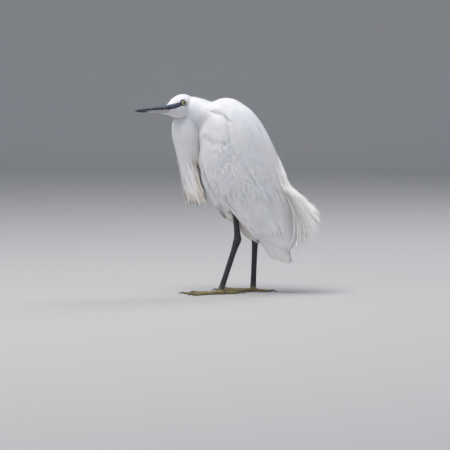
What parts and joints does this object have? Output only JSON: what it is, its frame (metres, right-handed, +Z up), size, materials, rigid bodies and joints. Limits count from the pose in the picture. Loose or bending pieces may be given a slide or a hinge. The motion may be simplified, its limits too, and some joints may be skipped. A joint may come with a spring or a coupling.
{
  "type": "little egret",
  "caption": "Little egret standing hunched at life size, neck folded and head turned to its left, with breast and back plumes; a still display model.",
  "frame": {"origin": "on the floor under the middle of the whole bird's box", "axes": "+Z up; the bird faces -X, its left side is towards -Y"},
  "size_m": [0.3004, 0.1621, 0.338],
  "materials": {
    "plumage_white": "white plumage, soft matt",
    "plumes_cream": "loose cream-white plumes, soft matt",
    "bill_black": "blue-black horn, satin",
    "bill_pale": "dark horn with a pale pinkish base, satin",
    "eye_yellow": "wet eye, pale yellow iris and black pupil",
    "leg_black": "scaled blackish skin, satin",
    "toe_yellow": "scaled dull yellow skin, satin",
    "claw_black": "blackish horn, satin"
  },
  "bodies": {
    "root": {"head": "plumage_white", "bill_upper": "bill_black", "bill_lower": "bill_pale", "eye_left": "eye_yellow", "eye_right": "eye_yellow", "neck_upper": "plumage_white", "neck_lower": "plumage_white", "torso": "plumage_white", "mantle_plumes": "plumes_cream", "wing_left": "plumage_white", "wing_right": "plumage_white", "tail": "plumage_white", "thigh_left": "plumage_white", "tibia_left": "leg_black", "tarsus_left": "leg_black", "foot_pad_left": "toe_yellow", "toe_hallux_left": "toe_yellow", "claw_hallux_left": "claw_black", "toe_inner_left": "toe_yellow", "claw_inner_left": "claw_black", "toe_middle_left": "toe_yellow", "claw_middle_left": "claw_black", "toe_outer_left": "toe_yellow", "claw_outer_left": "claw_black", "thigh_right": "plumage_white", "tibia_right": "leg_black", "tarsus_right": "leg_black", "foot_pad_right": "toe_yellow", "toe_hallux_right": "toe_yellow", "claw_hallux_right": "claw_black", "toe_inner_right": "toe_yellow", "claw_inner_right": "claw_black", "toe_middle_right": "toe_yellow", "claw_middle_right": "claw_black", "toe_outer_right": "toe_yellow", "claw_outer_right": "claw_black"}
  },
  "joints": []
}
